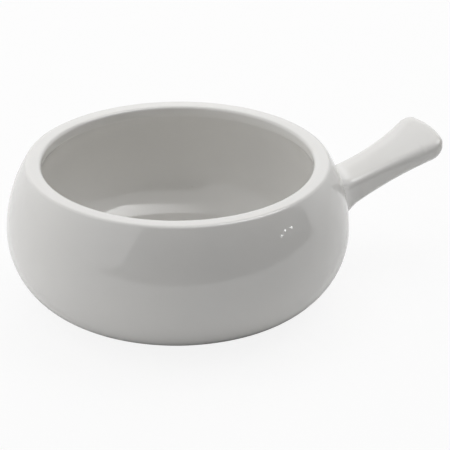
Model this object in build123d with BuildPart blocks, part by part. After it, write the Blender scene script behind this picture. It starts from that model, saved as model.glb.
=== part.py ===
"""French onion soup crock: a bellied stoneware bowl with a flared stick handle, white glazed.

The origin is the centre of the foot ring's standing face, +Z is up and the handle points along +X.
Outside sizes are those of the fired and glazed crock, in millimetres.
"""
import os

from build123d import *

# Bowl
BELLY_DIAMETER = 134.0
BELLY_HEIGHT = 29.7
HEIGHT = 57.2
RIM_DIAMETER = 118.0
MOUTH_DIAMETER = 105.6
COLLAR_DEPTH = 4.0
WALL = 6.0
FLOOR_HEIGHT = 8.0
FLOOR_DIAMETER = 80.0
RIM_OUTER_EDGE = 1.7
RIM_INNER_EDGE = 1.3
COLLAR_EDGE = 2.5

# Underside and foot ring
BASE_DIAMETER = 79.6
FOOT_DIAMETER = 86.0
FOOT_WIDTH = 6.0
FOOT_HEIGHT = 1.0
FOOT_EDGE = 0.4

# Stick handle
HANDLE_REACH = 113.0
HANDLE_TIP_HEIGHT = 51.5
HANDLE_TIP_DEPTH = 7.5
HANDLE_ROOT_HEIGHT = 35.2
HANDLE_ROOT_DEPTH = 13.7
HANDLE_TOP_DIP = 1.6
HANDLE_WAIST_WIDTH = 19.0
HANDLE_FLARE_LENGTH = 34.0
HANDLE_TIP_WIDTH = 32.6
HANDLE_END_BOW = 1.4
HANDLE_CORNER = 5.0
HANDLE_EDGE = 2.6

# Joining slip and glaze
SLIP_BED = 0.8
SLIP_FILLET = 5.8
SLIP_SEAT = 0.05
GLAZE = 0.4
WIPED_MARGIN = 1.0

# Places that several pieces share
foot_radius = FOOT_DIAMETER / 2
handle_root = (BELLY_DIAMETER - WALL) / 2
flare_end = HANDLE_REACH - HANDLE_END_BOW
flare_start = flare_end - HANDLE_FLARE_LENGTH

# Half plane of the bowl's sections, on the side away from the handle
section_plane = Plane((0, 0, 0), x_dir=(-1, 0, 0), z_dir=(0, 1, 0))

os.makedirs("parts", exist_ok=True)


def bowl_inset_by(skin):
    """The bowl without its foot ring, its surfaces one skin inside the glazed ones"""
    belly_radius = BELLY_DIAMETER / 2 - skin
    rim_radius = RIM_DIAMETER / 2 - skin
    rim_height = HEIGHT - skin
    mouth_radius = MOUTH_DIAMETER / 2 + skin
    collar_base = HEIGHT - COLLAR_DEPTH
    inner_belly_radius = BELLY_DIAMETER / 2 - WALL + skin
    floor_height = FLOOR_HEIGHT - skin
    floor_radius = FLOOR_DIAMETER / 2
    base_height = FOOT_HEIGHT - GLAZE + skin
    base_radius = BASE_DIAMETER / 2
    with BuildPart() as bowl:
        with BuildSketch(section_plane) as section:
            with BuildLine():
                Line((0, floor_height), (floor_radius, floor_height))
                EllipticalCenterArc(
                    (floor_radius, BELLY_HEIGHT),
                    inner_belly_radius - floor_radius,
                    BELLY_HEIGHT - floor_height,
                    start_angle=270,
                )
                TangentArc((inner_belly_radius, BELLY_HEIGHT), (mouth_radius, collar_base), tangent=(0, 1))
                Line((mouth_radius, collar_base), (mouth_radius, rim_height))
                Line((mouth_radius, rim_height), (rim_radius, rim_height))
                TangentArc((belly_radius, BELLY_HEIGHT), (rim_radius, rim_height), tangent=(0, 1))
                EllipticalCenterArc(
                    (base_radius, BELLY_HEIGHT),
                    belly_radius - base_radius,
                    BELLY_HEIGHT - base_height,
                    start_angle=270,
                )
                Line((base_radius, base_height), (0, base_height))
                Line((0, base_height), (0, floor_height))
            make_face()
            for corner, edge in (
                ((rim_radius, rim_height), RIM_OUTER_EDGE),
                ((mouth_radius, rim_height), RIM_INNER_EDGE),
                ((mouth_radius, collar_base), COLLAR_EDGE),
            ):
                fillet(section.vertices().sort_by_distance(corner)[0], edge - skin)
        revolve(axis=Axis.Z)
    return bowl.part


# Clay bowl with the foot ring turned on its underside
with BuildPart() as bowl_body:
    add(bowl_inset_by(GLAZE))
    with BuildSketch(section_plane) as foot_section:
        with Locations((foot_radius - FOOT_WIDTH / 2, FOOT_HEIGHT)):
            Rectangle(FOOT_WIDTH, 2 * FOOT_HEIGHT)
        fillet(foot_section.vertices().group_by(Axis.Y)[0], FOOT_EDGE)
    revolve(axis=Axis.Z)


# Side view of the glazed handle, from its root inside the wall to its tip
with BuildSketch(Plane.XZ) as handle_side:
    with BuildLine():
        SagittaArc((handle_root, HANDLE_ROOT_HEIGHT), (HANDLE_REACH, HANDLE_TIP_HEIGHT), -HANDLE_TOP_DIP)
        Polyline(
            (HANDLE_REACH, HANDLE_TIP_HEIGHT),
            (HANDLE_REACH, HANDLE_TIP_HEIGHT - HANDLE_TIP_DEPTH),
            (handle_root, HANDLE_ROOT_HEIGHT - HANDLE_ROOT_DEPTH),
            (handle_root, HANDLE_ROOT_HEIGHT),
        )
    make_face()

# The glazed handle from above: a straight waist that flares to a bowed end
with BuildSketch(Plane.XY) as handle_plan:
    with BuildLine():
        Line((handle_root, 0), (handle_root, HANDLE_WAIST_WIDTH / 2))
        Line((handle_root, HANDLE_WAIST_WIDTH / 2), (flare_start, HANDLE_WAIST_WIDTH / 2))
        TangentArc(
            (flare_start, HANDLE_WAIST_WIDTH / 2),
            (flare_end, HANDLE_TIP_WIDTH / 2),
            tangent=(1, 0),
        )
        mirror(about=Plane.XZ)
        ThreePointArc(
            (flare_end, HANDLE_TIP_WIDTH / 2),
            (HANDLE_REACH, 0),
            (flare_end, -HANDLE_TIP_WIDTH / 2),
        )
    make_face()
    fillet(handle_plan.vertices().group_by(Axis.X)[-1], HANDLE_CORNER)


def handle_inset_by(skin):
    """The handle less an even skin, its edges rounded and its root plain"""
    with BuildPart() as blank:
        with BuildSketch(Plane.XZ):
            add(handle_side)
            offset(amount=-skin)
        extrude(amount=HANDLE_TIP_WIDTH, both=True)
        with BuildSketch(Plane.XY):
            add(handle_plan)
            offset(amount=-skin)
        extrude(amount=2 * HANDLE_TIP_HEIGHT, mode=Mode.INTERSECT)
        broad_faces = blank.faces().sort_by(SortBy.AREA)[-2:]
        fillet(broad_faces.edges().filter_by(Axis.Y, reverse=True), HANDLE_EDGE - skin)
    return blank.part


def joined(bowl, handle, fillet_radius):
    """Bowl and handle in one, with a fillet all round the handle's root"""
    with BuildPart() as whole:
        add(bowl)
        add(handle)
        fillet(whole.edges(Select.NEW), fillet_radius)
    return whole.part


clay_handle = handle_inset_by(GLAZE)
biscuit = joined(bowl_inset_by(GLAZE), clay_handle, SLIP_FILLET)
glazed = joined(bowl_inset_by(0), handle_inset_by(0), SLIP_FILLET - GLAZE)

# The handle stops one slip bed short of the belly, which its root follows
with BuildPart() as handle:
    add(clay_handle)
    add(bowl_inset_by(GLAZE - SLIP_BED), mode=Mode.SUBTRACT)

# Slip bed and sponged fillet: what is left of the raw crock between bowl and handle
with BuildPart() as luting_slip:
    add(biscuit)
    add(bowl_inset_by(GLAZE - SLIP_SEAT), mode=Mode.SUBTRACT)
    add(handle.part, mode=Mode.SUBTRACT)

# Glaze over everything, stopped short of the foot ring
with BuildPart() as glaze_coat:
    add(glazed)
    add(biscuit, mode=Mode.SUBTRACT)
    add(handle.part, mode=Mode.SUBTRACT)
    Cylinder(foot_radius + WIPED_MARGIN, 2 * FLOOR_HEIGHT - 2 * GLAZE, mode=Mode.SUBTRACT)

# Glaze inside the foot ring
with BuildPart() as base_glaze:
    with BuildSketch(Plane.XY.offset(FOOT_HEIGHT - GLAZE)):
        Circle(foot_radius - FOOT_WIDTH - WIPED_MARGIN)
    extrude(amount=GLAZE)

for name, piece in (
    ("bowl_body", bowl_body),
    ("handle", handle),
    ("luting_slip", luting_slip),
    ("glaze_coat", glaze_coat),
    ("base_glaze", base_glaze),
):
    piece.part.label = name
    export_step(piece.part, f"parts/{name}.step")
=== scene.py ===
import math

import bpy
import numpy as np
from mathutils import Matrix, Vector, noise


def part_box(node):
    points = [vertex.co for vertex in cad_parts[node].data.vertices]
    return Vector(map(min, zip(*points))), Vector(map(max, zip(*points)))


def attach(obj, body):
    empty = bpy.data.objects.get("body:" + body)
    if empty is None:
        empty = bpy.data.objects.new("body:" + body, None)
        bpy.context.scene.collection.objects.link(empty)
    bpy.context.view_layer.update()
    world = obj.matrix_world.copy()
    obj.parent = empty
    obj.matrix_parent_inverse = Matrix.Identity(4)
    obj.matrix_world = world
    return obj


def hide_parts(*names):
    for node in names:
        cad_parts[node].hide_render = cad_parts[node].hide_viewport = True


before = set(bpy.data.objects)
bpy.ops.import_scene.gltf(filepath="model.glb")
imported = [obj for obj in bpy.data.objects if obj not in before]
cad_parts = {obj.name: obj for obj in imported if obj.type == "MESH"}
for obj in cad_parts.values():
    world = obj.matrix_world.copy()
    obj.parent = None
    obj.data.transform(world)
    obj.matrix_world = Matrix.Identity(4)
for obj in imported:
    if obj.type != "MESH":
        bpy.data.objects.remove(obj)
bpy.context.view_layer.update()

# Clay bowl
# The bowl is jiggered stoneware, fired to a pale buff. Its foot ring is wiped clean of glaze before
# the firing, so the bare clay shows there and nowhere else: dry, faintly sandy, with a few iron specks.
def fired_clay(name, colour, speck_colour):
    """Bare fired clay: blotched, dry, sandy and specked with iron"""
    clay = bpy.data.materials.new(name)
    clay.use_nodes = True
    nodes, links = clay.node_tree.nodes, clay.node_tree.links
    surface = nodes["Principled BSDF"]
    surface.inputs["IOR"].default_value = 1.45
    place = nodes.new("ShaderNodeTexCoord")

    blotch = nodes.new("ShaderNodeTexNoise")
    blotch.inputs["Scale"].default_value = 90
    blotch.inputs["Detail"].default_value = 4
    links.new(place.outputs["Object"], blotch.inputs["Vector"])
    body_tone = nodes.new("ShaderNodeValToRGB")
    body_tone.color_ramp.elements[0].position = 0.3
    body_tone.color_ramp.elements[0].color = [0.88 * c for c in colour] + [1]
    body_tone.color_ramp.elements[1].position = 0.7
    body_tone.color_ramp.elements[1].color = list(colour) + [1]
    links.new(blotch.outputs["Fac"], body_tone.inputs["Fac"])

    speck = nodes.new("ShaderNodeTexVoronoi")
    speck.inputs["Scale"].default_value = 420
    links.new(place.outputs["Object"], speck.inputs["Vector"])
    speck_edge = nodes.new("ShaderNodeMapRange")
    speck_edge.inputs["From Min"].default_value = 0.10
    speck_edge.inputs["From Max"].default_value = 0.16
    speck_edge.inputs["To Min"].default_value = 0.55
    speck_edge.inputs["To Max"].default_value = 0
    links.new(speck.outputs["Distance"], speck_edge.inputs["Value"])
    specked = nodes.new("ShaderNodeMix")
    specked.data_type = "RGBA"
    specked.inputs["B"].default_value = list(speck_colour) + [1]
    links.new(speck_edge.outputs["Result"], specked.inputs["Factor"])
    links.new(body_tone.outputs["Color"], specked.inputs["A"])
    links.new(specked.outputs["Result"], surface.inputs["Base Color"])

    dryness = nodes.new("ShaderNodeMapRange")
    dryness.inputs["To Min"].default_value = 0.72
    dryness.inputs["To Max"].default_value = 0.95
    links.new(blotch.outputs["Fac"], dryness.inputs["Value"])
    links.new(dryness.outputs["Result"], surface.inputs["Roughness"])

    sand = nodes.new("ShaderNodeTexNoise")
    sand.inputs["Scale"].default_value = 1600
    sand.inputs["Detail"].default_value = 6
    links.new(place.outputs["Object"], sand.inputs["Vector"])
    grain = nodes.new("ShaderNodeBump")
    grain.inputs["Strength"].default_value = 0.5
    grain.inputs["Distance"].default_value = 0.0002
    links.new(sand.outputs["Fac"], grain.inputs["Height"])
    links.new(grain.outputs["Normal"], surface.inputs["Normal"])
    return clay


def refinish(node, material):
    """Gives a solid's node this material alone"""
    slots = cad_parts[node].data.materials
    slots.clear()
    slots.append(material)


stoneware = fired_clay("bare stoneware", (0.62, 0.55, 0.45), (0.20, 0.13, 0.08))
refinish("bowl_body", stoneware)

# Stick handle
# The handle is pressed from the same clay and trimmed to the belly: a straight waist that flares to a bowed
# end, crowned on top, its edges rounder towards the tip. All of it lies under the glaze.
glaze_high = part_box("glaze_coat")[1]
belly_radius = glaze_high.y
rim_top = glaze_high.z
handle_reach = glaze_high.x
glaze_thickness = 0.0004

handle_root = 0.064
handle_root_top = 0.0352
handle_root_depth = 0.0137
handle_tip_top = 0.0515
handle_tip_depth = 0.0075
handle_tip_length = 0.0100
handle_top_dip = 0.0016
handle_crown, crown_lift = 0.0007, 0.7
handle_waist_half_width = 0.0095
handle_tip_half_width = 0.0169
handle_flare_start = 0.0776
handle_flare_length = 0.034
handle_end_bow = 0.0020
handle_corner = 0.0054
handle_edge, handle_tip_edge = 0.0026, 0.0030


def arc_through(run, rise):
    """Radius of an arc that starts along the run and has risen this far at its end"""
    return (run * run + rise * rise) / (2 * rise)


top_start = np.array([handle_root, handle_root_top])
top_stop = np.array([handle_reach, handle_tip_top])
top_chord = top_stop - top_start
top_length = np.hypot(*top_chord)
top_radius = arc_through(top_length / 2, handle_top_dip)
top_upward = np.array([-top_chord[1], top_chord[0]]) / top_length
top_centre = (top_start + top_stop) / 2 + top_upward * (top_radius - handle_top_dip)
under_start = top_start - [0, handle_root_depth]
under_chord = top_stop - [0, handle_tip_depth] - under_start
under_rise = under_chord[1] / under_chord[0]
under_normal = np.array([under_rise, -1]) / math.hypot(under_rise, 1)
flare_radius = arc_through(handle_flare_length, handle_tip_half_width - handle_waist_half_width)
end_radius = arc_through(handle_tip_half_width, handle_end_bow)


def round_off(a, b, radius):
    """Distance to a solid from the distances to its two faces, the edge between them rounded"""
    return (
        np.minimum(np.maximum(a, b) + radius, 0)
        + np.hypot(np.maximum(a + radius, 0), np.maximum(b + radius, 0))
        - radius
    )


def handle_distance(points):
    """Distance from the outside of the glazed handle"""
    x, y, z = np.moveaxis(points, -1, 0)
    side = np.abs(y)
    flared = np.clip((x - handle_flare_start) / handle_flare_length, 0, 1)
    half_width = handle_waist_half_width + (handle_tip_half_width - handle_waist_half_width) * flared ** 2
    crown = handle_crown * ((side / half_width) ** 2 - crown_lift)
    top = top_radius - np.hypot(x - top_centre[0], z - top_centre[1]) + crown
    under = (x - under_start[0]) * under_normal[0] + (z - under_start[1]) * under_normal[1]
    flare = flare_radius - np.hypot(x - handle_flare_start, side - handle_waist_half_width - flare_radius)
    flank = np.where(x > handle_flare_start, flare, side - handle_waist_half_width)
    end = np.hypot(x - handle_reach + end_radius, side) - end_radius
    edge = handle_edge + (handle_tip_edge - handle_edge) * flared
    return round_off(np.maximum(top, under), round_off(flank, end, handle_corner), edge)


def settle(points, distance, times, depth=0.0):
    """Moves points onto a surface, or to a depth below it"""
    step, least_slope = 1e-6, 0.1
    for _ in range(times):
        slope = np.stack(
            [
                (distance(points + shift) - distance(points - shift)) / (2 * step)
                for shift in np.eye(3) * step
            ],
            axis=-1,
        )
        away = (distance(points) + depth) / np.maximum(np.sum(slope * slope, axis=-1), least_slope)
        points = points - slope * away[..., None]
    return points


def squared_circle(points):
    """Draws points out or in to a circle of radius 1 with squared corners"""
    return points / np.sum(points ** 4, axis=1, keepdims=True) ** 0.25


def loop_at(x, outline):
    """A loop round the handle at a distance from the bowl's axis, roughly on its surface"""
    top = top_centre[1] - math.sqrt(top_radius ** 2 - (x - top_centre[0]) ** 2)
    under = under_start[1] + (x - under_start[0]) * under_rise
    flared = max(0.0, x - handle_flare_start)
    half_width = handle_waist_half_width + flare_radius - math.sqrt(flare_radius ** 2 - flared ** 2)
    z = (top + under) / 2 + (top - under) / 2 * outline[:, 1]
    return np.stack([np.full(len(outline), x), half_width * outline[:, 0], z], axis=1)


def on_tip(shares, depth=0.0):
    """Where rays from inside the tip leave it; the shares go from 0 straight ahead to 1 straight out"""
    spread, longest, halvings = 0.4, 3.0, 40
    aside, upward = np.moveaxis(shares, -1, 0)
    forward = handle_tip_length * np.sqrt(np.maximum(1 - np.sqrt(aside ** 4 + upward ** 4), 0))
    start = loop_at(handle_reach - handle_tip_length, core_outline).mean(axis=0)
    starts = start + np.stack([0 * aside, (1 - spread) * handle_tip_half_width * aside, 0 * aside], axis=-1)
    rays = np.stack(
        [
            forward,
            spread * handle_tip_half_width * aside,
            forward * under_rise + handle_tip_depth / 2 * upward,
        ],
        axis=-1,
    )
    near, far = np.zeros(aside.shape), np.full(aside.shape, longest)
    for _ in range(halvings):
        halfway = (near + far) / 2
        inside = handle_distance(starts + rays * halfway[..., None]) < -depth
        near, far = np.where(inside, halfway, near), np.where(inside, far, halfway)
    return starts + rays * near[..., None]


def new_piece(name, points, faces):
    """An object with a mesh of these points and faces"""
    mesh = bpy.data.meshes.new(name)
    mesh.from_pydata([tuple(point) for point in points], [], faces)
    piece = bpy.data.objects.new(name, mesh)
    bpy.context.collection.objects.link(piece)
    return piece


core_around, core_along = 96, 34
tip_loops, tip_cap_turn = 12, math.radians(58)
core_turns = np.arange(core_around) * 2 * math.pi / core_around
core_outline = squared_circle(np.stack([np.cos(core_turns), np.sin(core_turns)], axis=1))
tip_shares = np.cos(np.linspace(0, tip_cap_turn, tip_loops)[1:])
core_stations = np.linspace(belly_radius, handle_reach - handle_tip_length, core_along)
shank_loops = np.stack([loop_at(x, core_outline) for x in core_stations])
core_loops = np.concatenate(
    [
        settle(shank_loops, handle_distance, times=12, depth=glaze_thickness),
        [on_tip(share * core_outline, glaze_thickness) for share in tip_shares],
    ]
)
core_points = core_loops.reshape(-1, 3)
last_loop = len(core_points) - core_around
core_faces = [tuple(reversed(range(core_around))), tuple(range(last_loop, len(core_points)))]
for here in range(0, last_loop, core_around):
    there = here + core_around
    for place in range(core_around):
        beside = (place + 1) % core_around
        core_faces.append((here + place, here + beside, there + beside, there + place))
handle_core = new_piece("handle_core", core_points, core_faces)
handle_core.data.materials.append(stoneware)
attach(handle_core, "root")
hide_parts("handle")

# Joining slip
# The handle is stuck on with slip, the same clay let down with water, which is sponged into a fillet
# round the root. It fires a shade darker and finer than the body.
refinish("luting_slip", fired_clay("fired slip", (0.58, 0.51, 0.42), (0.24, 0.16, 0.10)))

# Glaze coat
# A glossy opaque white glaze is poured over the whole crock and wiped off the foot ring. It is one
# continuous skin of glass over bowl, slip and handle, a little uneven, and thinner on every edge.
belly_height = 0.0297
rim_radius = 0.0590
rim_outer_edge = 0.0017
rim_inner_edge = 0.0013
mouth_radius = 0.0528
collar_depth = 0.004
collar_edge = 0.0025
wall = 0.006
floor_height = 0.008
floor_radius = 0.040
floor_innermost = 0.001
base_radius = 0.0398
base_height = 0.0006
glaze_line = 0.044
glaze_line_slope = 0.2
root_fillet = 0.0095

collar_base = rim_top - collar_depth
inner_belly_radius = belly_radius - wall
shoulder_radius = arc_through(rim_top - belly_height, belly_radius - rim_radius)
shoulder_centre = belly_radius - shoulder_radius
inner_shoulder_radius = arc_through(collar_base - belly_height, inner_belly_radius - mouth_radius)
inner_shoulder_centre = inner_belly_radius - inner_shoulder_radius
base_reach = belly_radius - base_radius
base_drop = belly_height - base_height
base_start = -math.acos((glaze_line + glaze_thickness - base_radius) / base_reach)
rim_edge_centre = (
    shoulder_centre
    + math.sqrt((shoulder_radius - rim_outer_edge) ** 2 - (rim_top - rim_outer_edge - belly_height) ** 2),
    rim_top - rim_outer_edge,
)
shoulder_end = math.atan2(rim_edge_centre[1] - belly_height, rim_edge_centre[0] - shoulder_centre)
collar_edge_centre = (
    mouth_radius + collar_edge,
    belly_height
    + math.sqrt(
        (inner_shoulder_radius + collar_edge) ** 2 - (mouth_radius + collar_edge - inner_shoulder_centre) ** 2
    ),
)
inner_shoulder_start = math.atan2(
    collar_edge_centre[1] - belly_height, collar_edge_centre[0] - inner_shoulder_centre
)


def sweep(centre, radii, start, stop, steps):
    """Points of an elliptical arc in the bowl's section, its end left to the next stretch"""
    turn = np.linspace(start, stop, steps, endpoint=False)
    return np.stack([centre[0] + radii[0] * np.cos(turn), centre[1] + radii[1] * np.sin(turn)], axis=1)


def run(start, stop, steps):
    """Points of a straight stretch in the bowl's section, its end left to the next stretch"""
    return np.linspace(start, stop, steps, endpoint=False)


outside = np.concatenate(
    [
        run(
            (glaze_line, base_height + glaze_thickness),
            (glaze_line + glaze_line_slope * glaze_thickness, base_height),
            steps=2,
        ),
        sweep((base_radius, belly_height), (base_reach, base_drop), base_start, 0, steps=44),
        sweep((shoulder_centre, belly_height), (shoulder_radius, shoulder_radius), 0, shoulder_end, steps=30),
    ]
)
section = np.concatenate(
    [
        outside,
        sweep(rim_edge_centre, (rim_outer_edge, rim_outer_edge), shoulder_end, math.pi / 2, steps=8),
        run((rim_edge_centre[0], rim_top), (mouth_radius + rim_inner_edge, rim_top), steps=4),
        sweep(
            (mouth_radius + rim_inner_edge, rim_top - rim_inner_edge),
            (rim_inner_edge, rim_inner_edge),
            math.pi / 2,
            math.pi,
            steps=8,
        ),
        run((mouth_radius, rim_top - rim_inner_edge), (mouth_radius, collar_edge_centre[1]), steps=3),
        sweep(
            collar_edge_centre,
            (collar_edge, collar_edge),
            math.pi,
            math.pi + inner_shoulder_start,
            steps=8,
        ),
        sweep(
            (inner_shoulder_centre, belly_height),
            (inner_shoulder_radius, inner_shoulder_radius),
            inner_shoulder_start,
            0,
            steps=24,
        ),
        sweep(
            (floor_radius, belly_height),
            (inner_belly_radius - floor_radius, belly_height - floor_height),
            0,
            -math.pi / 2,
            steps=30,
        ),
        run((floor_radius, floor_height), (floor_innermost, floor_height), steps=24),
    ]
)
columns = 208
turns = np.arange(columns) * 2 * math.pi / columns
bowl_points = np.stack(
    [
        section[:, :1] * np.cos(turns),
        section[:, :1] * np.sin(turns),
        np.repeat(section[:, 1:], columns, axis=1),
    ],
    axis=2,
)


def crock_distance(points):
    """Distance from the outside of the glazed crock near its handle, with the fillet round the root"""
    x, y, z = np.moveaxis(points, -1, 0)
    from_axis = np.hypot(x, y)
    shoulder = np.hypot(from_axis - shoulder_centre, z - belly_height) - shoulder_radius
    out, down = (from_axis - base_radius) / base_reach, (z - belly_height) / base_drop
    level = np.hypot(out, down)
    base = (level - 1) * level / np.hypot(out / base_reach, down / base_drop)
    bowl = np.where(z > belly_height, shoulder, base)
    return -round_off(-bowl, -handle_distance(points), root_fillet)


# The handle's skin grows out of a window in the bowl's skin, loop by loop, and is closed at the tip
window_bottom, window_top = 0.0105, 0.0505
fillet_middle, fillet_end = 0.0715, 0.0800
fillet_loop_count, handle_loop_count = 13, 30
loop_smoothings, cap_smoothings = 30, 600
window_low = int(np.argmin(np.abs(outside[:, 1] - window_bottom)))
window_high = int(np.argmin(np.abs(outside[:, 1] - window_top)))
window_half = 13
across = 2 * window_half
along = window_high - window_low
window_columns = np.arange(-window_half, window_half + 1)
border = (
    [(window_low, column) for column in window_columns[:-1]]
    + [(row, window_half) for row in range(window_low, window_high)]
    + [(window_high, column) for column in window_columns[:0:-1]]
    + [(row, -window_half) for row in range(window_high, window_low, -1)]
)
skin_outline = squared_circle(
    np.array([(column / window_half, 2 * (row - window_low) / along - 1) for row, column in border])
)
window_loop = np.array([bowl_points[row, column] for row, column in border])
middle_loop = settle(loop_at(fillet_middle, skin_outline), crock_distance, times=8)
end_loop = settle(loop_at(fillet_end, skin_outline), crock_distance, times=8)
blend = np.linspace(0, 1, fillet_loop_count + 2)[1:-1, None, None]
fillet_loops = (1 - blend) ** 2 * window_loop + 2 * blend * (1 - blend) * middle_loop + blend ** 2 * end_loop
stations = np.linspace(fillet_end, handle_reach - handle_tip_length, handle_loop_count)
loops = np.concatenate([window_loop[None], fillet_loops, [loop_at(x, skin_outline) for x in stations]])
loops[1:] = settle(loops[1:], crock_distance, times=10)
for _ in range(loop_smoothings):
    beside = (np.roll(loops, 1, axis=1) + np.roll(loops, -1, axis=1)) / 2
    even = loops[1:-1] / 2 + beside[1:-1] / 4 + (loops[2:] + loops[:-2]) / 8
    loops[1:-1] = settle(even, crock_distance, times=3)
loops = np.concatenate([loops, [on_tip(share * skin_outline) for share in tip_shares]])

cap_shares = np.zeros((along + 1, across + 1, 2))
for (row, column), share in zip(border, tip_shares[-1] * skin_outline):
    cap_shares[row - window_low, column + window_half] = share
for _ in range(cap_smoothings):
    cap_shares[1:-1, 1:-1] = (
        cap_shares[2:, 1:-1] + cap_shares[:-2, 1:-1] + cap_shares[1:-1, 2:] + cap_shares[1:-1, :-2]
    ) / 4
cap = on_tip(cap_shares)

skin_points, skin_faces, bowl_index = [], [], {}
for row in range(len(section)):
    for column in range(columns):
        from_handle = column if column <= columns // 2 else column - columns
        if window_low < row < window_high and abs(from_handle) < window_half:
            continue
        bowl_index[row, column] = len(skin_points)
        skin_points.append(bowl_points[row, column])
for row in range(len(section) - 1):
    here, there = row, row + 1
    for column in range(columns):
        from_handle = column if column < columns // 2 else column - columns
        if window_low <= row < window_high and -window_half <= from_handle < window_half:
            continue
        beside = (column + 1) % columns
        corners = (here, column), (here, beside), (there, beside), (there, column)
        skin_faces.append(tuple(bowl_index[corner] for corner in corners))
centre_point = len(skin_points)
skin_points.append((0, 0, floor_height))
last_row = len(section) - 1
for column in range(columns):
    beside = (column + 1) % columns
    skin_faces.append((bowl_index[last_row, column], bowl_index[last_row, beside], centre_point))

loop_index = [[bowl_index[row, column % columns] for row, column in border]]
for loop in loops[1:]:
    loop_index.append(list(range(len(skin_points), len(skin_points) + len(border))))
    skin_points.extend(loop)
for here, there in zip(loop_index, loop_index[1:]):
    for place in range(len(border)):
        beside = (place + 1) % len(border)
        skin_faces.append((here[place], here[beside], there[beside], there[place]))
cap_index = {}
for (row, column), point in zip(border, loop_index[-1]):
    cap_index[row - window_low, column + window_half] = point
for row in range(1, along):
    for column in range(1, across):
        cap_index[row, column] = len(skin_points)
        skin_points.append(cap[row, column])
for row in range(along):
    for column in range(across):
        corners = (row, column), (row, column + 1), (row + 1, column + 1), (row + 1, column)
        skin_faces.append(tuple(cap_index[corner] for corner in corners))

glaze_skin = new_piece("glaze_skin", skin_points, skin_faces)
glaze_mesh = glaze_skin.data
glaze_mesh.polygons.foreach_set("use_smooth", [True] * len(skin_faces))
glaze_mesh.update()

# The coat dips and swells a little, runs thin on every sharp edge and pools in every hollow
thin_from, thin_over = 40, 160
pooled_from, pooled_over = 10, 60
swell_scale, swell_depth = 45, 0.00005
ripple_scale, ripple_share = 3 * swell_scale, 0.4
skin_count = len(skin_points)
skin_at, skin_normal = np.zeros(skin_count * 3), np.zeros(skin_count * 3)
glaze_mesh.vertices.foreach_get("co", skin_at)
glaze_mesh.vertices.foreach_get("normal", skin_normal)
skin_at, skin_normal = skin_at.reshape(-1, 3), skin_normal.reshape(-1, 3)
edge_ends = np.zeros(len(glaze_mesh.edges) * 2, dtype=np.int32)
glaze_mesh.edges.foreach_get("vertices", edge_ends)
edge_ends = edge_ends.reshape(-1, 2)
edge_ends = np.concatenate([edge_ends, edge_ends[:, ::-1]])
reach = skin_at[edge_ends[:, 1]] - skin_at[edge_ends[:, 0]]
fall = -np.sum(reach * skin_normal[edge_ends[:, 0]], axis=1)
bend = np.bincount(edge_ends[:, 0], fall) / np.bincount(edge_ends[:, 0], np.sum(reach * reach, axis=1))
thin = np.clip((bend - thin_from) / thin_over, 0, 1)
pooled = np.clip((-bend - pooled_from) / pooled_over, 0, 1)
for name, amount in (("thin_glaze", thin), ("pooled_glaze", pooled)):
    glaze_mesh.attributes.new(name, "FLOAT", "POINT").data.foreach_set("value", amount)
swells = np.array([noise.noise(Vector(at) * swell_scale) for at in skin_at])
ripples = np.array([noise.noise(Vector(at) * ripple_scale) for at in skin_at])
dips = swells + ripple_share * ripples
skin_at -= skin_normal * (swell_depth * np.clip(1 + dips, 0, 2))[:, None]
glaze_mesh.vertices.foreach_set("co", skin_at.ravel())
glaze_mesh.update()


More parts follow.
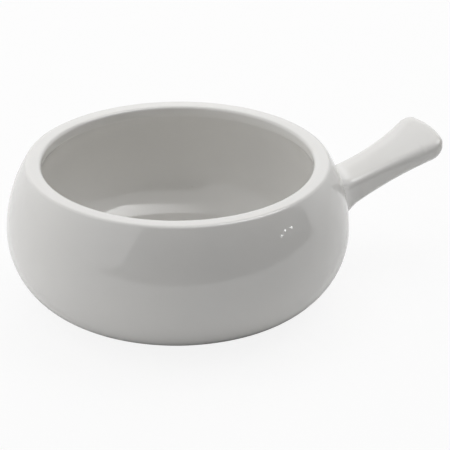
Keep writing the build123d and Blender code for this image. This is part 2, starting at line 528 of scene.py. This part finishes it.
def glassy_white(name, has_edges):
    """Opaque white glaze: slow drift of tone, creamier where thin, a few specks, faint orange peel"""
    glaze = bpy.data.materials.new(name)
    glaze.use_nodes = True
    nodes, links = glaze.node_tree.nodes, glaze.node_tree.links
    surface = nodes["Principled BSDF"]
    surface.inputs["IOR"].default_value = 1.52
    place = nodes.new("ShaderNodeTexCoord")

    drift = nodes.new("ShaderNodeTexNoise")
    drift.inputs["Scale"].default_value = 26
    drift.inputs["Detail"].default_value = 3
    links.new(place.outputs["Object"], drift.inputs["Vector"])
    tone = nodes.new("ShaderNodeValToRGB")
    tone.color_ramp.elements[0].position = 0.3
    tone.color_ramp.elements[0].color = (0.785, 0.777, 0.758, 1)
    tone.color_ramp.elements[1].position = 0.7
    tone.color_ramp.elements[1].color = (0.808, 0.797, 0.773, 1)
    links.new(drift.outputs["Fac"], tone.inputs["Fac"])
    coloured = tone.outputs["Color"]

    if has_edges:
        for attribute, strength, tint in (
            ("thin_glaze", 0.45, (0.74, 0.71, 0.655, 1)),
            ("pooled_glaze", 0.4, (0.80, 0.80, 0.79, 1)),
        ):
            amount = nodes.new("ShaderNodeAttribute")
            amount.attribute_name = attribute
            share = nodes.new("ShaderNodeMapRange")
            share.inputs["To Max"].default_value = strength
            links.new(amount.outputs["Fac"], share.inputs["Value"])
            tinted = nodes.new("ShaderNodeMix")
            tinted.data_type = "RGBA"
            tinted.inputs["B"].default_value = tint
            links.new(share.outputs["Result"], tinted.inputs["Factor"])
            links.new(coloured, tinted.inputs["A"])
            coloured = tinted.outputs["Result"]

    speck = nodes.new("ShaderNodeTexVoronoi")
    speck.inputs["Scale"].default_value = 75
    links.new(place.outputs["Object"], speck.inputs["Vector"])
    speck_edge = nodes.new("ShaderNodeMapRange")
    speck_edge.inputs["From Min"].default_value = 0.010
    speck_edge.inputs["From Max"].default_value = 0.022
    speck_edge.inputs["To Min"].default_value = 0.35
    speck_edge.inputs["To Max"].default_value = 0
    links.new(speck.outputs["Distance"], speck_edge.inputs["Value"])
    specked = nodes.new("ShaderNodeMix")
    specked.data_type = "RGBA"
    specked.inputs["B"].default_value = (0.34, 0.28, 0.20, 1)
    links.new(speck_edge.outputs["Result"], specked.inputs["Factor"])
    links.new(coloured, specked.inputs["A"])
    links.new(specked.outputs["Result"], surface.inputs["Base Color"])

    gloss = nodes.new("ShaderNodeMapRange")
    gloss.inputs["To Min"].default_value = 0.04
    gloss.inputs["To Max"].default_value = 0.08
    links.new(drift.outputs["Fac"], gloss.inputs["Value"])
    links.new(gloss.outputs["Result"], surface.inputs["Roughness"])

    peel = nodes.new("ShaderNodeTexNoise")
    peel.inputs["Scale"].default_value = 320
    peel.inputs["Detail"].default_value = 2
    links.new(place.outputs["Object"], peel.inputs["Vector"])
    orange_peel = nodes.new("ShaderNodeBump")
    orange_peel.inputs["Strength"].default_value = 0.12
    orange_peel.inputs["Distance"].default_value = 0.0001
    links.new(peel.outputs["Fac"], orange_peel.inputs["Height"])
    links.new(orange_peel.outputs["Normal"], surface.inputs["Normal"])
    return glaze


glaze_mesh.materials.append(glassy_white("white glaze", True))
body_of_glass = glaze_skin.modifiers.new("body of glass", "SOLIDIFY")
body_of_glass.thickness = glaze_thickness - 2 * swell_depth
body_of_glass.offset = -1
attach(glaze_skin, "root")
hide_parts("glaze_coat")

# Base glaze
# Inside the wiped foot ring a disc of the same glaze is left on the underside, with a rounded, slightly
# uneven edge.
base_low, base_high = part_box("base_glaze")
disc_radius = base_high.x
disc_edge = base_high.z - base_low.z
disc_columns, edge_steps = 144, 6
clay_side_shares, open_side_shares = (0.2, 0.6), (0.9, 0.7, 0.45, 0.2)
waver, waver_scale, waver_power = 0.012, 4, 4
edge_turn = np.linspace(0, math.pi / 2, edge_steps)
edge_away = disc_radius - disc_edge + disc_edge * np.cos(edge_turn)
edge_height = base_high.z - disc_edge * np.sin(edge_turn)
disc_section = np.concatenate(
    [
        [(share * disc_radius, base_high.z) for share in clay_side_shares],
        np.stack([edge_away, edge_height], axis=1),
        [(share * disc_radius, base_low.z) for share in open_side_shares],
    ]
)
disc_points, disc_faces = [], []
for away, height in disc_section:
    for column in range(disc_columns):
        bearing = 2 * math.pi * column / disc_columns
        outward = Vector((math.cos(bearing), math.sin(bearing), 0))
        unevenness = (1 + noise.noise(waver_scale * outward)) / 2
        shrink = waver * unevenness * (away / disc_radius) ** waver_power
        disc_points.append(outward * away * (1 - shrink) + Vector((0, 0, height)))
last_ring = len(disc_points) - disc_columns
for here in range(0, last_ring, disc_columns):
    there = here + disc_columns
    for column in range(disc_columns):
        beside = (column + 1) % disc_columns
        disc_faces.append((here + column, there + column, there + beside, here + beside))
disc_faces.append(tuple(range(disc_columns)))
disc_faces.append(tuple(reversed(range(last_ring, len(disc_points)))))
base_disc = new_piece("base_disc", disc_points, disc_faces)
disc_mesh = base_disc.data
disc_mesh.polygons.foreach_set("use_smooth", [True] * len(disc_faces))
disc_mesh.update()
disc_mesh.materials.append(glassy_white("white glaze of the base", False))
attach(base_disc, "root")
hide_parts("base_glaze")

# Table top
# A plain white table top, larger than any view of it. It keeps the crock's shadow. Where the belly mirrors
# it, it glows white, and a painted shade fades that glow out towards the foot.
table_half = 3.0
table_corners = [(table_half * x, table_half * y, 0) for x, y in ((-1, -1), (1, -1), (1, 1), (-1, 1))]
table_top = new_piece("table_top", table_corners, [(0, 1, 2, 3)])
paper = bpy.data.materials.new("white table")
paper.use_nodes = True
paper_nodes, paper_links = paper.node_tree.nodes, paper.node_tree.links
paper_surface = paper_nodes["Principled BSDF"]
paper_surface.inputs["Base Color"].default_value = (0.9, 0.9, 0.9, 1)
paper_surface.inputs["Roughness"].default_value = 0.8
paper_path = paper_nodes.new("ShaderNodeLightPath")
paper_place = paper_nodes.new("ShaderNodeTexCoord")
from_foot = paper_nodes.new("ShaderNodeVectorMath")
from_foot.operation = "LENGTH"
paper_links.new(paper_place.outputs["Object"], from_foot.inputs[0])
# Painted shade: the white glow that reflections of the table show fades to nothing near the foot.
glow_past_painted_shade = paper_nodes.new("ShaderNodeMapRange")
glow_past_painted_shade.inputs["From Min"].default_value = 0.05
glow_past_painted_shade.inputs["From Max"].default_value = 0.10
glow_past_painted_shade.inputs["To Max"].default_value = 0.6
paper_links.new(from_foot.outputs["Value"], glow_past_painted_shade.inputs["Value"])
mirrored_white_with_painted_shade = paper_nodes.new("ShaderNodeMath")
mirrored_white_with_painted_shade.operation = "MULTIPLY"
paper_links.new(paper_path.outputs["Is Glossy Ray"], mirrored_white_with_painted_shade.inputs[0])
paper_links.new(glow_past_painted_shade.outputs["Result"], mirrored_white_with_painted_shade.inputs[1])
seen = paper_nodes.new("ShaderNodeMath")
seen.operation = "MAXIMUM"
paper_links.new(paper_path.outputs["Is Camera Ray"], seen.inputs[0])
paper_links.new(paper_path.outputs["Is Transmission Ray"], seen.inputs[1])
whiter = paper_nodes.new("ShaderNodeMath")
whiter.operation = "MULTIPLY_ADD"
whiter.inputs[1].default_value = 0.88
paper_links.new(seen.outputs["Value"], whiter.inputs[0])
paper_links.new(mirrored_white_with_painted_shade.outputs["Value"], whiter.inputs[2])
plain_white = paper_nodes.new("ShaderNodeEmission")
paper_mix = paper_nodes.new("ShaderNodeMixShader")
paper_links.new(whiter.outputs["Value"], paper_mix.inputs["Fac"])
paper_links.new(paper_surface.outputs["BSDF"], paper_mix.inputs[1])
paper_links.new(plain_white.outputs["Emission"], paper_mix.inputs[2])
paper_links.new(paper_mix.outputs["Shader"], paper_nodes["Material Output"].inputs["Surface"])
table_top.data.materials.append(paper)

# Camera
# It stands where the photograph was taken: in front, a little round to the side away from the handle, and
# looking down.
camera_turn = math.radians(-25.3)
camera_rise = math.radians(24.3)
camera_distance = 1.1
aim_right, aim_down = 0.0182, 0.02506
toward = Vector(
    (
        math.sin(camera_turn) * math.cos(camera_rise),
        -math.cos(camera_turn) * math.cos(camera_rise),
        math.sin(camera_rise),
    )
)
rim_centre = Vector((0, 0, rim_top))
right = Vector((math.cos(camera_turn), math.sin(camera_turn), 0))
upward = toward.cross(right)
camera_data = bpy.data.cameras.new("camera")
camera_data.sensor_width = 36
camera_data.lens = 227.15
camera = bpy.data.objects.new("camera", camera_data)
bpy.context.collection.objects.link(camera)
camera.location = rim_centre + toward * camera_distance
aim = rim_centre + right * aim_right - upward * aim_down
camera.rotation_euler = (camera.location - aim).to_track_quat("Z", "Y").to_euler()
bpy.context.scene.camera = camera

# Dark room
# The room beyond the table is dark, and the belly mirrors it. A bent black card stands for it, in front of
# the crock and to its right, as a painted dark reflection. It is low on the left, where the window comes in,
# and only reflections see it.
card_height = 0.26
card_outline = (
    (-0.275, 0.235, 0.0),
    (-0.192, 0.235, 0.028),
    (-0.140, 0.235, 0.061),
    (-0.130, 0.235, 0.105),
    (-0.110, 0.235, 0.165),
    (-0.090, 0.235, card_height),
    (0.150, 0.235, card_height),
    (0.800, -0.086, card_height),
)
ahead = Vector((math.sin(camera_turn), -math.cos(camera_turn), 0))
card_points = []
for aside, in_front, height in card_outline:
    foot = right * aside + ahead * in_front
    card_points += [foot, foot + Vector((0, 0, height))]
card_faces = [(low, low + 2, low + 3, low + 1) for low in range(0, len(card_points) - 2, 2)]
room_card = new_piece("room_card", card_points, card_faces)
black = bpy.data.materials.new("dark room")
black.use_nodes = True
black_surface = black.node_tree.nodes["Principled BSDF"]
black_surface.inputs["Base Color"].default_value = (0.01, 0.01, 0.01, 1)
black_surface.inputs["Roughness"].default_value = 1
room_card.data.materials.append(black)
room_card.visible_camera = False
room_card.visible_diffuse = False
room_card.visible_shadow = False

# Light
# Soft light from windows on both sides, from overhead and from behind, and a little from the front. Most
# lamps are kept out of reflections, where a backdrop, a few small bulbs and the room's ceiling are seen.
def soft_light(name, turn, rise, width, height, power, distance=1.25, mirrored=False):
    """An area lamp that faces the crock; its turn is the angle from the camera's side, right positive"""
    bearing = camera_turn + math.radians(turn)
    way = Vector(
        (
            math.sin(bearing) * math.cos(math.radians(rise)),
            -math.cos(bearing) * math.cos(math.radians(rise)),
            math.sin(math.radians(rise)),
        )
    )
    lamp = bpy.data.lights.new(name, "AREA")
    lamp.shape = "RECTANGLE"
    lamp.size, lamp.size_y = width, height
    lamp.energy = power
    holder = bpy.data.objects.new(name, lamp)
    bpy.context.collection.objects.link(holder)
    holder.location = way * distance
    holder.rotation_euler = way.to_track_quat("Z", "Y").to_euler()
    holder.visible_camera = False
    holder.visible_glossy = mirrored
    return holder


soft_light("left_window", turn=-108, rise=20, width=0.95, height=0.7, power=4.0)
soft_light("front_left_window", turn=-65, rise=20, width=0.7, height=0.7, power=1.75)
soft_light("right_window", turn=140, rise=32, width=0.8, height=0.7, power=1.8)
soft_light("overhead_left", turn=-90, rise=65, width=0.8, height=0.8, power=2.7)
soft_light("overhead_right", turn=100, rise=60, width=0.9, height=0.9, power=3.8)
soft_light("overhead_rear", turn=180, rise=60, width=0.8, height=0.9, power=4.2)
soft_light("front_fill", turn=-10, rise=62, width=0.7, height=0.7, power=1.35)
soft_light("backdrop", turn=180, rise=26, width=1.6, height=0.5, power=1.3, distance=1.6, mirrored=True)
bulb_size, bulb_power, bulb_distance = 0.007, 0.002, 0.316
for name, turn, rise in (("bulb_a", 70.2, 17.9), ("bulb_b", 75.0, 17.5), ("bulb_c", 66.5, 16.3)):
    soft_light(name, turn, rise, bulb_size, bulb_size, bulb_power, bulb_distance, mirrored=True)

# The ceiling grows brighter towards its slanted right end. That end and the front edge are soft, and only
# reflections see it.
ceiling_width, ceiling_depth, ceiling_height = 1.35, 1.00, 1.25
ceiling_right, ceiling_front = 0.375, -0.02
ceiling_slant, ceiling_slant_end = 0.56, 1.03
ceiling_softness = 0.06
ceiling = soft_light(
    "ceiling",
    turn=0,
    rise=90,
    width=ceiling_width,
    height=ceiling_depth,
    power=math.pi * ceiling_width * ceiling_depth,
    mirrored=True,
)
ceiling.location = right * ceiling_right + ahead * ceiling_front + Vector((0, 0, ceiling_height))
ceiling.rotation_euler = (0, 0, camera_turn)
ceiling.visible_diffuse = False
ceiling.data.use_nodes = True
ceiling_nodes, ceiling_links = ceiling.data.node_tree.nodes, ceiling.data.node_tree.links
across_ceiling = ceiling_nodes.new("ShaderNodeNewGeometry")
split = ceiling_nodes.new("ShaderNodeSeparateXYZ")
ceiling_links.new(across_ceiling.outputs["Parametric"], split.inputs["Vector"])
brighter = ceiling_nodes.new("ShaderNodeMapRange")
brighter.inputs["To Min"].default_value = 0
brighter.inputs["To Max"].default_value = 7.3
ceiling_links.new(split.outputs["X"], brighter.inputs["Value"])
front_edge = ceiling_nodes.new("ShaderNodeMapRange")
front_edge.interpolation_type = "SMOOTHSTEP"
front_edge.inputs["From Max"].default_value = 0.14
ceiling_links.new(split.outputs["Y"], front_edge.inputs["Value"])
slant = ceiling_nodes.new("ShaderNodeVectorMath")
slant.operation = "DOT_PRODUCT"
slant.inputs[1].default_value = (ceiling_width, -ceiling_slant * ceiling_depth, 0)
ceiling_links.new(across_ceiling.outputs["Parametric"], slant.inputs[0])
slant_edge = ceiling_nodes.new("ShaderNodeMapRange")
slant_edge.interpolation_type = "SMOOTHSTEP"
slant_edge.inputs["From Min"].default_value = ceiling_slant_end - ceiling_softness
slant_edge.inputs["From Max"].default_value = ceiling_slant_end + ceiling_softness
slant_edge.inputs["To Min"].default_value = 1
slant_edge.inputs["To Max"].default_value = 0
ceiling_links.new(slant.outputs["Value"], slant_edge.inputs["Value"])
brightness = brighter.outputs["Result"]
for edge in (front_edge, slant_edge):
    dimmed = ceiling_nodes.new("ShaderNodeMath")
    dimmed.operation = "MULTIPLY"
    ceiling_links.new(brightness, dimmed.inputs[0])
    ceiling_links.new(edge.outputs["Result"], dimmed.inputs[1])
    brightness = dimmed.outputs["Value"]
ceiling_links.new(brightness, ceiling_nodes["Emission"].inputs["Strength"])

# The room is white where it is looked at or mirrored, and gives little light of its own
studio = bpy.data.worlds.new("studio")
studio.use_nodes = True
bpy.context.scene.world = studio
room_nodes, room_links = studio.node_tree.nodes, studio.node_tree.links
path = room_nodes.new("ShaderNodeLightPath")
looked_at = room_nodes.new("ShaderNodeMath")
looked_at.operation = "MAXIMUM"
room_links.new(path.outputs["Is Camera Ray"], looked_at.inputs[0])
room_links.new(path.outputs["Is Glossy Ray"], looked_at.inputs[1])
in_sight = room_nodes.new("ShaderNodeMath")
in_sight.operation = "MAXIMUM"
room_links.new(looked_at.outputs["Value"], in_sight.inputs[0])
room_links.new(path.outputs["Is Transmission Ray"], in_sight.inputs[1])
room_tone = room_nodes.new("ShaderNodeMapRange")
room_tone.inputs["To Min"].default_value = 0.05
room_tone.inputs["To Max"].default_value = 1
room_links.new(in_sight.outputs["Value"], room_tone.inputs["Value"])
room_links.new(room_tone.outputs["Result"], room_nodes["Background"].inputs["Strength"])
room_nodes["Background"].inputs["Color"].default_value = (1, 1, 1, 1)
bpy.context.scene.view_settings.view_transform = "Standard"
